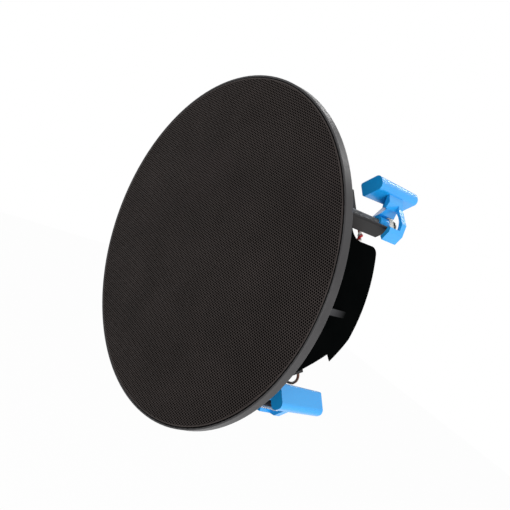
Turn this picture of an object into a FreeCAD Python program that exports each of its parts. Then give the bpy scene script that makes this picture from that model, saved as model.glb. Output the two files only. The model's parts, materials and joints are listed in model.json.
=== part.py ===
import FreeCAD, Part
import math
import os

V = FreeCAD.Vector

# A round in-wall loudspeaker. Millimetres. The face looks towards -Y, +Y goes into the wall and +Z is up.
# The origin is the centre of the flange's back plane, where it meets the wall.
# Angles run from +X towards +Z.

# Rim, flange and drum
RIM_RADIUS = 116.0
RIM_DEPTH = 6.5
RIM_WALL = 1.4
RIM_ROUND = 0.6
FLANGE_THICKNESS = 3.0
FLANGE_OVERLAP = 7.0
SHOULDER_CLEARANCE = 0.7
SHOULDER_HEIGHT = 2.0
DRUM_CLEARANCE = 8.7
DRUM_WALL = 2.5
DRUM_DEPTH = 41.0
STEP_INSET = 3.5
STEP_WALL = 2.5
SEAT_WIDTH = 16.0
SEAT_THICKNESS = 3.0
SEAT_DEPTH = 8.0
RIB_WIDTH = 4.0
RIB_HEIGHT = 5.2
RIB_LENGTH = 30.0
RIB_ANGLE = -39.5
PART_CLEARANCE = 0.3

# Grille
GRILLE_THICKNESS = 1.0
GRILLE_PROUD = 0.1
GRILLE_EDGE = 1.4
GRILLE_SKIRT = 2.0
GRILLE_CLEARANCE = 0.4
GRILLE_OPENINGS = 12
GRILLE_BAR = 2.6
GRILLE_BORDER = 14.0
MAGNET_COUNT = 8
MAGNET_INSET = 9.0
MAGNET_RADIUS = 3.0
MAGNET_HEIGHT = 2.0
MAGNET_BOSS_WALL = 1.4

# Clamps: places are (outwards, sideways) from the screw's axis, with the arm stowed sideways.
# Angles about the screw run from outwards to sideways.
CLAMP_COUNT = 4
CLAMP_PHASE = 45.0
SCREW_INSET = 19.5
SCREW_RADIUS = 2.0
SCREW_HEAD_RADIUS = 4.0
SCREW_HEAD_HEIGHT = 2.4
SCREW_HEAD_SINK = 2.0
SCREW_HOLE_CLEARANCE = 0.3
THREAD_CLEARANCE = 0.05
DRIVE_SLOT_LENGTH = 4.6
DRIVE_SLOT_WIDTH = 1.0
DRIVE_SLOT_DEPTH = 1.4
BOSS_HEIGHT = 8.0
TOWER_END = 60.0
TOWER_WALL = 2.3
TOWER_OUT = 6.2
TOWER_IN = 6.8
TOWER_SIDE = 7.2
TOWER_OPEN_SIDE = 3.3
GUARD_END = 48.0
GUARD_REACH = 24.0
GUARD_IN = 11.0
HUB_FRONT = 55.0
HUB_LENGTH = 13.5
HUB_BAND = 4.2
HUB_CORE_RADIUS = 4.1
HUB_SWEEP_CLEARANCE = 0.4
HUB_WALL = 2.9
HOOK_FACETS = (28.0, -19.0, -51.5, -81.5)
HOOK_OPENING = (-38.0, 36.0)
WEB_HEEL = -3.9
WEB_TOE = 4.0
WEB_FOOT = 3.9
NUT_SIZE = 7.0
NUT_THICKNESS = 4.5
NUT_SLOT_CLEARANCE = 0.3
JAW_FRONT = 44.1
JAW_LENGTH = 38.0
JAW_OUT = 16.4
JAW_WIDTH = 16.2
JAW_NEAR = 13.6
JAW_THICKNESS = 9.4
JAW_DRAFT = 0.6
JAW_NOSE = 3.6
JAW_EDGE = 1.6
JAW_END = 1.4
ARM_SETBACK = 8.5
ARM_SLOPE_START = 4.0
CLIP_GAP = 0.8
CLIP_THICKNESS = 0.8
CLIP_RADIUS = 4.2
SCREW_TIP = 2.0
CLAMP_TRAVEL = 36.0
STOW_ANGLE = 6.0
CLAMP_ADVANCES = (0.0, 0.0, 0.0, 16.0)
DRUM_CUT_MARGIN = 1.5
DRUM_CUT_NEAR = 25.0
DRUM_CUT_CORNER = 4.0
DRUM_CUT_FAR = 58.2
DRUM_CUT_ROUND = 8.0
DRUM_CUT_SHELF = 19.0
DRUM_CUT_NOTCH = 31.9
DRUM_CUT_TIP = 54.6
DRUM_CUT_TIP_DROP = 3.7
DRUM_CUT_END = 68.0

# Woofer
GASKET_THICKNESS = 1.0
BASKET_SHEET = 1.5
BASKET_FLANGE = 7.5
BASKET_LIP = 4.0
BASKET_WALL_STEP = 0.6
BASKET_WALL_SLANT = 2.2
BASKET_NECK_RADIUS = 45.5
BASKET_NECK_START = 32.0
BASKET_BACK = 44.5
BASKET_BORE = 20.0
BASKET_WINDOWS = 6
WINDOW_TOP = 15.0
WINDOW_BOTTOM = 29.0
WINDOW_TOP_HALF = 21.0
WINDOW_BOTTOM_HALF = 14.0
WINDOW_ROUND = 3.0
BASKET_SCREWS = 4
BASKET_SCREW_STEP = 4.0
BASKET_SCREW_RADIUS = 1.6
BASKET_SCREW_HEAD = 3.0
BASKET_SCREW_HEIGHT = 2.0
SPIDER_LEDGE = 36.0
SPIDER_LEDGE_INNER = 38.5
SPIDER_SHEET = 0.8
SPIDER_WAVE = 1.3
SPIDER_WAVES = 4
SURROUND_SHEET = 0.8
SURROUND_LAND = 3.4
ROLL_RADIUS = 4.2
CONE_SHEET = 0.9
CONE_NECK_DEPTH = 33.0
COIL_FORMER_RADIUS = 13.9
COIL_FORMER_WALL = 0.5
COIL_FORMER_START = 31.0
COIL_FORMER_END = 55.0
COIL_WALL = 0.6
COIL_LENGTH = 9.0
COIL_GAP = 0.8
TOP_PLATE_RADIUS = 45.0
TOP_PLATE_THICKNESS = 5.5
MAGNET_RING_RADIUS = 50.0
MAGNET_RING_BORE = 24.0
MAGNET_RING_THICKNESS = 18.0
YOKE_RADIUS = 45.0
YOKE_THICKNESS = 6.0
POLE_RADIUS = 12.8

# Tweeter
POST_RADIUS = 5.0
POST_BORE = 3.0
POST_CLEARANCE = 0.2
POST_COLLAR_RADIUS = 9.0
POST_COLLAR = 2.5
TWEETER_RADIUS = 17.5
TWEETER_WALL = 1.9
TWEETER_FLOOR = 2.0
TWEETER_FRONT = -1.0
TWEETER_BACK = 10.5
TWEETER_DOME_RADIUS = 12.2
TWEETER_DOME_RISE = 3.0
TWEETER_DOME_SHEET = 0.6
TWEETER_RING_HEIGHT = 2.2
TWEETER_GROOVE = 1.2

# Crossover and terminals
LOBE_ANGLE = 9.75
BOARD_WIDTH = 50.0
BOARD_HEIGHT = 36.0
BOARD_THICKNESS = 1.6
BOARD_FRONT = 3.5
BOARD_STANDOFF = 3.7
BOARD_POST_RADIUS = 3.0
BOARD_POST_SPACING = 30.0
COIL_RADIUS = 11.0
COIL_BOBBIN_RADIUS = 5.5
COIL_HEIGHT = 13.0
COIL_FLANGE = 1.2
CAPACITOR_RADIUS = 6.5
CAPACITOR_LENGTH = 26.0
CAPACITOR_ROUND = 0.8
RESISTOR_WIDTH = 7.0
RESISTOR_LENGTH = 20.0
TERMINAL_ANGLE = 99.75
TERMINAL_WIDTH = 32.0
TERMINAL_DEPTH = 11.05
TERMINAL_GAP = 2.75
TERMINAL_FRONT = 20.0
SHELF_THICKNESS = 3.0
SHELF_SINK = 0.75
TERMINAL_BACK = 40.0
TAB_WIDTH = 9.0
TAB_DEPTH = 6.0
TAB_HEIGHT = 8.0
TAB_SPACING = 14.0
TAB_TRAVEL = 3.0
TAB_CLEARANCE = 0.3
WIRE_HOLE_RADIUS = 1.6
LEAD_RADIUS = 0.9

# Leads: the bends between their ends are (distance inside the circle of screws, angle, depth)
PAIR_SPACING = 2.2
PAIR_STEP_OUT = 1.1
PAIR_TERMINAL = (5.0, 33.0)
PAIR_EXIT = 12.0
PAIR_BENDS = [(10.0, 70.5, 46.0), (17.0, 55.5, 53.0), (17.0, 42.5, 51.5)]
PAIR_BOARD = (36.6, 19.5)
BROWN_BOARD = (37.5, -18.0)
BROWN_BENDS = [(7.5, -17.0, 47.0), (8.0, -29.0, 53.5), (13.5, -39.0, 51.5), (20.5, -47.0, 45.0),
               (29.5, -54.0, 38.0)]
BOARD_ENTRY = 14.5

# Sizes that follow
RIM_FRONT = -RIM_DEPTH
FLANGE_FRONT = -FLANGE_THICKNESS
CUTOUT_RADIUS = RIM_RADIUS - FLANGE_OVERLAP
SCREW_CIRCLE = CUTOUT_RADIUS - SCREW_INSET
STEP_RADIUS = SCREW_CIRCLE - STEP_INSET
SEAT_RADIUS = STEP_RADIUS - SEAT_WIDTH
MAGNET_CIRCLE = RIM_RADIUS - MAGNET_INSET
DRUM_RADIUS = CUTOUT_RADIUS - DRUM_CLEARANCE
DRUM_INNER = DRUM_RADIUS - DRUM_WALL
SHOULDER_RADIUS = CUTOUT_RADIUS - SHOULDER_CLEARANCE
SCREW_HOLE = SCREW_RADIUS + SCREW_HOLE_CLEARANCE
HUB_BACK = HUB_FRONT + HUB_LENGTH
HUB_SWEEP = math.hypot(TOWER_IN, TOWER_SIDE) + HUB_SWEEP_CLEARANCE
HUB_REACH = HUB_SWEEP + HUB_WALL
JAW_FAR = JAW_NEAR + JAW_THICKNESS
JAW_IN = JAW_OUT - JAW_WIDTH
NUT_SLOT_START = HUB_BACK - NUT_THICKNESS - 2 * NUT_SLOT_CLEARANCE
CLAMP_ANGLES = [CLAMP_PHASE + 360.0 / CLAMP_COUNT * i for i in range(CLAMP_COUNT)]
GRILLE_RADIUS = RIM_RADIUS - RIM_WALL - GRILLE_CLEARANCE
GRILLE_FRONT = RIM_FRONT - GRILLE_PROUD
GRILLE_BACK = GRILLE_FRONT + GRILLE_THICKNESS
GASKET_BACK = SEAT_DEPTH + GASKET_THICKNESS
BASKET_FLANGE_BACK = GASKET_BACK + BASKET_SHEET
BASKET_RADIUS = SEAT_RADIUS + BASKET_FLANGE
BASKET_INNER = SEAT_RADIUS - BASKET_LIP
BASKET_WALL_RADIUS = SEAT_RADIUS + BASKET_WALL_STEP
BASKET_SCREW_CIRCLE = SEAT_RADIUS + BASKET_SCREW_STEP
TOP_PLATE_BACK = BASKET_BACK + TOP_PLATE_THICKNESS
MAGNET_RING_BACK = TOP_PLATE_BACK + MAGNET_RING_THICKNESS
YOKE_BACK = MAGNET_RING_BACK + YOKE_THICKNESS
BOARD_PLACE = DRUM_INNER - BOARD_STANDOFF - BOARD_THICKNESS
TERMINAL_OUTER = DRUM_INNER - TERMINAL_GAP
TERMINAL_INNER = TERMINAL_OUTER - TERMINAL_DEPTH

ORIGIN = V(0, 0, 0)
AXIS = V(0, 1, 0)


def outline(points, place):
    """Closed wire through the points. A third number in a point rounds that corner."""
    corners = []
    for i, point in enumerate(points):
        corner = V(point[0], point[1], 0)
        if len(point) == 2:
            corners.append((corner, None, corner))
            continue
        before = V(*points[i - 1][:2], 0) - corner
        after = V(*points[(i + 1) % len(points)][:2], 0) - corner
        before.normalize()
        after.normalize()
        half = before.getAngle(after) / 2
        inwards = before + after
        inwards.normalize()
        reach = point[2] / math.tan(half)
        middle = corner + inwards * (point[2] / math.sin(half) - point[2])
        corners.append((corner + before * reach, middle, corner + after * reach))
    edges = []
    for i, (start, middle, end) in enumerate(corners):
        if middle:
            edges.append(Part.Arc(place(start), place(middle), place(end)).toShape())
        following = corners[(i + 1) % len(corners)][0]
        if end.distanceToPoint(following) > 1e-6:
            edges.append(Part.LineSegment(place(end), place(following)).toShape())
    return Part.Wire(edges)


def revolved(points):
    """Solid of revolution about the loudspeaker's axis from (radius, depth) points."""
    face = Part.Face(outline(points, lambda p: V(p.x, p.y, 0)))
    return face.revolve(ORIGIN, AXIS, 360)


def at_screw(y):
    """Place of an (outwards, sideways) point beside the screw, at one depth."""
    return lambda p: V(SCREW_CIRCLE + p.x, y, p.y)


def post(points, start, end):
    """Straight piece beside the screw, along the axis from one depth to another."""
    return Part.Face(outline(points, at_screw(start))).extrude(V(0, end - start, 0))


def block(low, high):
    """Box between two corners, each as (outwards from the axis, depth, sideways)."""
    size = [h - l for l, h in zip(low, high)]
    return Part.makeBox(size[0], size[1], size[2], V(*low))


def rod(radius, start, end, x=0.0, z=0.0):
    """Round bar along the axis."""
    return Part.makeCylinder(radius, end - start, V(x, start, z), AXIS)


def turned(shape, angle):
    """Copy of a shape made at angle 0, carried round the axis to an angle."""
    copy = shape.copy()
    copy.rotate(ORIGIN, AXIS, -angle)
    return copy


def advanced(shape, distance):
    """A shape moved along the screw towards the flange."""
    shape.translate(V(0, -distance, 0))
    return shape


def ring_of(shape, count, phase=0.0):
    """Copies of a shape made at angle 0, evenly spaced round the axis."""
    return [turned(shape, phase + 360.0 / count * i) for i in range(count)]


def around(radius, angle):
    """(Outwards, sideways) point at a radius and angle about the screw."""
    return radius * math.cos(math.radians(angle)), radius * math.sin(math.radians(angle))


def facing(angle, outwards, depth, sideways):
    """Point from its distances along the directions of an angle."""
    c, s = around(1.0, angle)
    return V(outwards * c - sideways * s, depth, outwards * s + sideways * c)


def polar(radius, angle, depth):
    """Point from its radius, angle and depth."""
    return facing(angle, radius, depth, 0.0)


def save(name, *solids):
    """Writes one node from its solids."""
    shape = solids[0] if len(solids) == 1 else Part.makeCompound(list(solids))
    shape.exportStep("parts/" + name + ".step")


def drum_cut():
    """What is cut from the drum's back for one clamp: a rounded shelf, the arm's bay and a notched slope."""
    low = JAW_FRONT - CLAMP_TRAVEL - DRUM_CUT_MARGIN
    hub_side = HUB_REACH + DRUM_CUT_MARGIN
    stow = math.radians(STOW_ANGLE)
    arm_side = JAW_FAR * math.cos(stow) + JAW_OUT * math.sin(stow) + DRUM_CUT_MARGIN
    top = DRUM_DEPTH + DRUM_CUT_MARGIN
    points = [
        (-DRUM_CUT_NEAR - 2 * DRUM_CUT_CORNER, top),
        (-DRUM_CUT_NEAR - 2 * DRUM_CUT_CORNER, DRUM_DEPTH),
        (-DRUM_CUT_NEAR, DRUM_DEPTH, DRUM_CUT_CORNER),
        (-DRUM_CUT_NEAR, DRUM_CUT_SHELF, DRUM_CUT_ROUND),
        (-hub_side, DRUM_CUT_SHELF - 1.5),
        (-hub_side, low),
        (arm_side, low),
        (DRUM_CUT_FAR, DRUM_CUT_NOTCH),
        (DRUM_CUT_TIP, DRUM_DEPTH - DRUM_CUT_TIP_DROP),
        (DRUM_CUT_END, DRUM_DEPTH),
        (DRUM_CUT_END, top),
    ]
    start = SEAT_RADIUS
    face = Part.Face(outline(points, lambda p: V(start, p.y, p.x)))
    return face.extrude(V(RIM_RADIUS - start, 0, 0))


def tower():
    """Screw boss and the walls beside one clamp: an angle that guides the nut, and a guard behind the arm."""
    boss = post([(-TOWER_WALL - 1.0, -TOWER_SIDE), (TOWER_OUT, -TOWER_SIDE), (TOWER_OUT, TOWER_SIDE, 2.0),
                 (-TOWER_WALL - 1.0, TOWER_SIDE)], -FLANGE_THICKNESS / 2, BOSS_HEIGHT)
    inner = -TOWER_IN + TOWER_WALL
    side = -TOWER_SIDE + TOWER_WALL
    edge = 0.4 * TOWER_WALL
    angle = post([(TOWER_OUT, -TOWER_SIDE, edge), (TOWER_OUT, side, edge), (inner, side), (inner, TOWER_OPEN_SIDE),
                  (-TOWER_IN, TOWER_OPEN_SIDE), (-TOWER_IN, -TOWER_SIDE, 1.5)],
                 SEAT_DEPTH - SEAT_THICKNESS / 2, TOWER_END)
    guard_out = -GUARD_IN + TOWER_WALL
    guard_start = TOWER_OPEN_SIDE - TOWER_WALL
    guard = post([(inner, guard_start), (inner, TOWER_OPEN_SIDE), (guard_out, TOWER_OPEN_SIDE),
                  (guard_out, GUARD_REACH), (-GUARD_IN, GUARD_REACH), (-GUARD_IN, guard_start)],
                 SEAT_DEPTH - SEAT_THICKNESS / 2, GUARD_END)
    return boss.fuse([angle, guard])


def front_frame():
    """Rim, flange, woofer seat, drum, ribs, clamp towers and bosses as one moulding."""
    rim_inner = RIM_RADIUS - RIM_WALL
    shell = revolved([
        (RIM_RADIUS, 0, RIM_ROUND), (RIM_RADIUS, RIM_FRONT, RIM_ROUND), (rim_inner, RIM_FRONT, RIM_ROUND),
        (rim_inner, FLANGE_FRONT), (STEP_RADIUS, FLANGE_FRONT, 1.0),
        (STEP_RADIUS, SEAT_DEPTH - SEAT_THICKNESS), (SEAT_RADIUS, SEAT_DEPTH - SEAT_THICKNESS),
        (SEAT_RADIUS, SEAT_DEPTH), (STEP_RADIUS + STEP_WALL, SEAT_DEPTH), (STEP_RADIUS + STEP_WALL, 0),
        (DRUM_INNER, 0), (DRUM_INNER, DRUM_DEPTH), (DRUM_RADIUS, DRUM_DEPTH), (DRUM_RADIUS, SHOULDER_HEIGHT),
        (SHOULDER_RADIUS, SHOULDER_HEIGHT), (SHOULDER_RADIUS, 0),
    ])
    shell = shell.cut([turned(drum_cut(), angle) for angle in CLAMP_ANGLES])
    root = DRUM_RADIUS - DRUM_WALL / 2
    crest = DRUM_RADIUS + RIB_HEIGHT
    rib_face = Part.Face(outline([(root, SHOULDER_HEIGHT / 2), (crest, SHOULDER_HEIGHT / 2),
                                  (DRUM_RADIUS, RIB_LENGTH), (root, RIB_LENGTH)],
                                 lambda p: V(p.x, p.y, -RIB_WIDTH / 2)))
    rib = rib_face.extrude(V(0, 0, RIB_WIDTH))
    magnet_top = GRILLE_BACK + PART_CLEARANCE
    magnet_boss = rod(MAGNET_RADIUS + MAGNET_BOSS_WALL, magnet_top, FLANGE_FRONT / 2, MAGNET_CIRCLE)
    added = [turned(tower(), angle) for angle in CLAMP_ANGLES]
    added += [turned(rib, angle + RIB_ANGLE) for angle in CLAMP_ANGLES]
    added += ring_of(magnet_boss, MAGNET_COUNT, 180.0 / MAGNET_COUNT)
    for side in (-0.5, 0.5):
        board_post = Part.makeCylinder(
            BOARD_POST_RADIUS, BOARD_STANDOFF + DRUM_WALL / 2,
            V(BOARD_PLACE + BOARD_THICKNESS, BOARD_FRONT + BOARD_HEIGHT / 2, BOARD_POST_SPACING * side),
            V(1, 0, 0))
        added.append(turned(board_post, LOBE_ANGLE))
    shelf = block((TERMINAL_INNER + 2.0, TERMINAL_FRONT - SHELF_THICKNESS, -TERMINAL_WIDTH / 2),
                  (DRUM_INNER - SHELF_SINK, TERMINAL_FRONT, TERMINAL_WIDTH / 2))
    added.append(turned(shelf, TERMINAL_ANGLE))
    body = shell.fuse(added)
    screw_hole = rod(SCREW_HOLE, RIM_FRONT, TOWER_END, SCREW_CIRCLE)
    sink_radius = SCREW_HEAD_RADIUS + 2 * PART_CLEARANCE
    head_sink = rod(sink_radius, RIM_FRONT, FLANGE_FRONT + SCREW_HEAD_SINK, SCREW_CIRCLE)
    pocket = rod(MAGNET_RADIUS + PART_CLEARANCE / 3, RIM_FRONT, GRILLE_BACK + MAGNET_HEIGHT, MAGNET_CIRCLE)
    pilot = rod(BASKET_SCREW_RADIUS, SEAT_DEPTH - SEAT_THICKNESS, SEAT_DEPTH, BASKET_SCREW_CIRCLE)
    cuts = ring_of(screw_hole.fuse(head_sink), CLAMP_COUNT, CLAMP_PHASE)
    cuts += ring_of(pocket, MAGNET_COUNT, 180.0 / MAGNET_COUNT)
    cuts += ring_of(pilot, BASKET_SCREWS)
    return body.cut(cuts).removeSplitter()


def clamp():
    """Dog-leg clamp at angle 0: a hooked hub round the screw, a sloped web and a jaw with a rounded nose."""
    root = JAW_NEAR + JAW_THICKNESS / 4
    shoulder = (JAW_OUT - JAW_NOSE, root)
    neck = (JAW_OUT - JAW_NOSE, JAW_NEAR)
    facets = [around(HUB_REACH, angle) for angle in HOOK_FACETS]
    toe = (WEB_TOE, WEB_FOOT)
    heel = (WEB_HEEL, WEB_FOOT)
    hook = post([shoulder, neck, facets[0], facets[1] + (1.0,), facets[2] + (1.0,), facets[3],
                 around(HUB_SWEEP, HOOK_FACETS[3]), (0, 0), toe], HUB_FRONT, HUB_BACK)
    hook = hook.cut(rod(HUB_SWEEP, HUB_FRONT, HUB_BACK, SCREW_CIRCLE))
    side = [around(2 * HUB_REACH, angle) for angle in HOOK_OPENING]
    hook = hook.cut(post([(0, 0)] + side, HUB_FRONT, HUB_BACK - HUB_BAND))
    web = post([heel, toe, neck, shoulder, (JAW_IN + JAW_EDGE, root)], HUB_FRONT, HUB_BACK)
    slope_end = ARM_SLOPE_START + ARM_SETBACK
    slope = Part.Face(outline([(ARM_SLOPE_START, HUB_FRONT), (slope_end, HUB_FRONT + ARM_SETBACK),
                               (JAW_FAR, HUB_FRONT + ARM_SETBACK), (JAW_FAR, HUB_FRONT)],
                              lambda p: V(SEAT_RADIUS, p.y, p.x))).extrude(V(RIM_RADIUS - SEAT_RADIUS, 0, 0))
    hub = hook.fuse([web.cut(slope), rod(HUB_CORE_RADIUS, HUB_FRONT, HUB_BACK, SCREW_CIRCLE)])
    nut_space = rod(NUT_SIZE / math.sqrt(2) + PART_CLEARANCE, NUT_SLOT_START, HUB_BACK, SCREW_CIRCLE)
    hub = hub.cut([rod(SCREW_HOLE, HUB_FRONT, HUB_BACK, SCREW_CIRCLE), nut_space])

    def jaw_wire(depth, draft):
        return outline([(JAW_OUT - draft, JAW_NEAR + draft, JAW_NOSE), (JAW_OUT - draft, JAW_FAR - draft, JAW_NOSE),
                        (JAW_IN + draft, JAW_FAR - draft, JAW_EDGE), (JAW_IN + draft, JAW_NEAR + draft, JAW_EDGE)],
                       at_screw(depth))

    jaw_back = JAW_FRONT + JAW_LENGTH
    jaw = Part.makeLoft([jaw_wire(JAW_FRONT, 0), jaw_wire(jaw_back, JAW_DRAFT)], True)
    back_edges = [e for e in jaw.Edges if e.BoundBox.YMin > jaw_back - 0.01]
    jaw = jaw.makeFillet(JAW_END, back_edges)
    return hub.fuse(jaw).removeSplitter()


def clamp_screw():
    """Slotted screw from the flange to behind the clamp."""
    seat = FLANGE_FRONT + SCREW_HEAD_SINK
    top = seat - SCREW_HEAD_HEIGHT
    end = HUB_BACK + CLIP_GAP + CLIP_THICKNESS + SCREW_TIP
    points = [(0, top), (SCREW_HEAD_RADIUS, top, 1.0), (SCREW_HEAD_RADIUS, seat), (SCREW_RADIUS, seat),
              (SCREW_RADIUS, end - 1.0), (SCREW_RADIUS / 2, end), (0, end)]
    shape = revolved(points)
    shape.translate(V(SCREW_CIRCLE, 0, 0))
    bottom = top + DRIVE_SLOT_DEPTH
    slots = []
    for x, z in ((DRIVE_SLOT_LENGTH, DRIVE_SLOT_WIDTH), (DRIVE_SLOT_WIDTH, DRIVE_SLOT_LENGTH)):
        slots.append(block((SCREW_CIRCLE - x / 2, top - 1.0, -z / 2), (SCREW_CIRCLE + x / 2, bottom, z / 2)))
    return shape.cut(slots)


def clamp_nut():
    """Square nut that runs on the screw and is kept from turning by the tower's walls."""
    start = NUT_SLOT_START + NUT_SLOT_CLEARANCE
    half = NUT_SIZE / 2
    nut = block((SCREW_CIRCLE - half, start, -half), (SCREW_CIRCLE + half, start + NUT_THICKNESS, half))
    return nut.cut(rod(SCREW_RADIUS + THREAD_CLEARANCE, start, start + NUT_THICKNESS, SCREW_CIRCLE))


def clamp_clip():
    """Push-on clip that keeps the clamp on the screw."""
    start = HUB_BACK + CLIP_GAP
    clip = rod(CLIP_RADIUS, start, start + CLIP_THICKNESS, SCREW_CIRCLE)
    return clip.cut(rod(SCREW_RADIUS, start, start + CLIP_THICKNESS, SCREW_CIRCLE))


def grille():
    """Steel sheet with a rounded, turned edge and a plain grid of openings inside its border."""
    inner = GRILLE_RADIUS - GRILLE_THICKNESS
    skirt_end = GRILLE_BACK + GRILLE_SKIRT
    sheet = revolved([(0, GRILLE_FRONT), (GRILLE_RADIUS, GRILLE_FRONT, GRILLE_EDGE), (GRILLE_RADIUS, skirt_end),
                      (inner, skirt_end), (inner, GRILLE_BACK, GRILLE_EDGE / 3), (0, GRILLE_BACK)])
    reach = GRILLE_RADIUS - GRILLE_BORDER
    pitch = (2 * reach + GRILLE_BAR) / GRILLE_OPENINGS
    width = pitch - GRILLE_BAR
    lows = [-reach + pitch * i for i in range(GRILLE_OPENINGS)]
    openings = []
    for x in lows:
        for z in lows:
            if max(math.hypot(a, b) for a in (x, x + width) for b in (z, z + width)) < reach:
                openings.append(block((x, GRILLE_FRONT, z), (x + width, GRILLE_BACK, z + width)))
    return sheet.cut(openings)


def basket():
    """Pressed basket: flange, windowed cone, neck with the spider's ledge, and a back plate."""
    neck_inner = BASKET_NECK_RADIUS - BASKET_SHEET
    ledge_back = SPIDER_LEDGE + BASKET_SHEET
    shape = revolved([
        (BASKET_RADIUS, GASKET_BACK), (BASKET_RADIUS, BASKET_FLANGE_BACK),
        (BASKET_WALL_RADIUS, BASKET_FLANGE_BACK), (BASKET_NECK_RADIUS, BASKET_NECK_START),
        (BASKET_NECK_RADIUS, BASKET_BACK), (BASKET_BORE, BASKET_BACK),
        (BASKET_BORE, BASKET_BACK - BASKET_SHEET), (neck_inner, BASKET_BACK - BASKET_SHEET),
        (neck_inner, ledge_back), (SPIDER_LEDGE_INNER, ledge_back), (SPIDER_LEDGE_INNER, SPIDER_LEDGE),
        (neck_inner, SPIDER_LEDGE), (neck_inner, BASKET_NECK_START - 0.6),
        (BASKET_WALL_RADIUS - BASKET_WALL_SLANT, BASKET_FLANGE_BACK), (BASKET_INNER, BASKET_FLANGE_BACK),
        (BASKET_INNER, GASKET_BACK),
    ])
    window_face = Part.Face(outline([
        (-WINDOW_TOP_HALF, WINDOW_TOP, WINDOW_ROUND), (WINDOW_TOP_HALF, WINDOW_TOP, WINDOW_ROUND),
        (WINDOW_BOTTOM_HALF, WINDOW_BOTTOM, WINDOW_ROUND), (-WINDOW_BOTTOM_HALF, WINDOW_BOTTOM, WINDOW_ROUND)],
        lambda p: V(BASKET_NECK_RADIUS / 2, p.y, p.x)))
    window = window_face.extrude(V(BASKET_RADIUS - BASKET_NECK_RADIUS / 2, 0, 0))
    hole = rod(BASKET_SCREW_RADIUS + PART_CLEARANCE, GASKET_BACK, BASKET_FLANGE_BACK, BASKET_SCREW_CIRCLE)
    return shape.cut(ring_of(window, BASKET_WINDOWS, 180.0 / BASKET_WINDOWS) + ring_of(hole, BASKET_SCREWS))


def woofer_gasket():
    """Flat ring between the frame's seat and the basket."""
    ring = revolved([(SEAT_RADIUS + PART_CLEARANCE, SEAT_DEPTH), (BASKET_RADIUS, SEAT_DEPTH),
                     (BASKET_RADIUS, GASKET_BACK), (SEAT_RADIUS + PART_CLEARANCE, GASKET_BACK)])
    hole = rod(BASKET_SCREW_RADIUS + PART_CLEARANCE, SEAT_DEPTH, GASKET_BACK, BASKET_SCREW_CIRCLE)
    return ring.cut(ring_of(hole, BASKET_SCREWS))


def basket_screw():
    """Pan-head screw through the basket into the frame's seat."""
    end = SEAT_DEPTH - SEAT_THICKNESS
    head_back = BASKET_FLANGE_BACK + BASKET_SCREW_HEIGHT
    shape = revolved([(0, end), (BASKET_SCREW_RADIUS, end), (BASKET_SCREW_RADIUS, BASKET_FLANGE_BACK),
                      (BASKET_SCREW_HEAD, BASKET_FLANGE_BACK), (BASKET_SCREW_HEAD, head_back, 0.8),
                      (0, head_back)])
    shape.translate(V(BASKET_SCREW_CIRCLE, 0, 0))
    return shape


def surround():
    """Rubber half-roll between the cone's edge and the basket's flange."""
    front = GASKET_BACK - SURROUND_SHEET
    outer = SEAT_RADIUS - PART_CLEARANCE
    roll_outer = outer - SURROUND_LAND
    centre = roll_outer - ROLL_RADIUS
    roll_inner = centre - ROLL_RADIUS
    inner = roll_inner - SURROUND_LAND
    half = ROLL_RADIUS - SURROUND_SHEET
    flat = [V(outer, GASKET_BACK, 0), V(outer, front, 0), V(roll_outer, front, 0)]
    back = [V(roll_inner, front, 0), V(inner, front, 0), V(inner, GASKET_BACK, 0),
            V(centre - half, GASKET_BACK, 0)]
    edges = [Part.LineSegment(a, b).toShape() for a, b in zip(flat, flat[1:])]
    edges.append(Part.Arc(flat[-1], V(centre, front - ROLL_RADIUS, 0), back[0]).toShape())
    edges += [Part.LineSegment(a, b).toShape() for a, b in zip(back, back[1:])]
    inside = V(centre, front - ROLL_RADIUS + SURROUND_SHEET, 0)
    end = V(centre + half, GASKET_BACK, 0)
    edges.append(Part.Arc(back[-1], inside, end).toShape())
    edges.append(Part.LineSegment(end, flat[0]).toShape())
    return Part.Face(Part.Wire(edges)).revolve(ORIGIN, AXIS, 360), inner, roll_inner


def cone(land_inner, land_outer):
    """Curved cone from its flat edge under the surround to its neck on the coil former."""
    neck = COIL_FORMER_RADIUS + THREAD_CLEARANCE
    front = GASKET_BACK
    back = front + CONE_SHEET
    bend = V((land_inner + neck) / 2 - 3.0, (front + CONE_NECK_DEPTH) / 2 - 2.0, 0)
    drop = V(0, CONE_SHEET * 1.2, 0)
    top = V(neck, CONE_NECK_DEPTH, 0)
    edges = [
        Part.LineSegment(V(land_outer, back, 0), V(land_outer, front, 0)).toShape(),
        Part.LineSegment(V(land_outer, front, 0), V(land_inner, front, 0)).toShape(),
        Part.Arc(V(land_inner, front, 0), bend, top).toShape(),
        Part.LineSegment(top, top + drop).toShape(),
        Part.Arc(top + drop, bend + drop, V(land_inner, back, 0)).toShape(),
        Part.LineSegment(V(land_inner, back, 0), V(land_outer, back, 0)).toShape(),
    ]
    return Part.Face(Part.Wire(edges)).revolve(ORIGIN, AXIS, 360)


def spider():
    """Corrugated disc from the coil former to the basket's ledge."""
    inner = COIL_FORMER_RADIUS + THREAD_CLEARANCE
    first = inner + 2.0
    last = SPIDER_LEDGE_INNER - 1.0
    outer = BASKET_NECK_RADIUS - BASKET_SHEET - PART_CLEARANCE
    pitch = (last - first) / (2 * SPIDER_WAVES)
    line = [(inner, SPIDER_LEDGE - SPIDER_SHEET), (first, SPIDER_LEDGE - SPIDER_SHEET)]
    for i in range(2 * SPIDER_WAVES):
        height = SPIDER_WAVE if i % 2 else -SPIDER_WAVE
        line.append((first + pitch * (i + 0.5), SPIDER_LEDGE - SPIDER_SHEET + height))
    line += [(last, SPIDER_LEDGE - SPIDER_SHEET), (outer, SPIDER_LEDGE - SPIDER_SHEET)]
    back = [(r, y + SPIDER_SHEET) for r, y in reversed(line)]
    return revolved(line + back)


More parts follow.
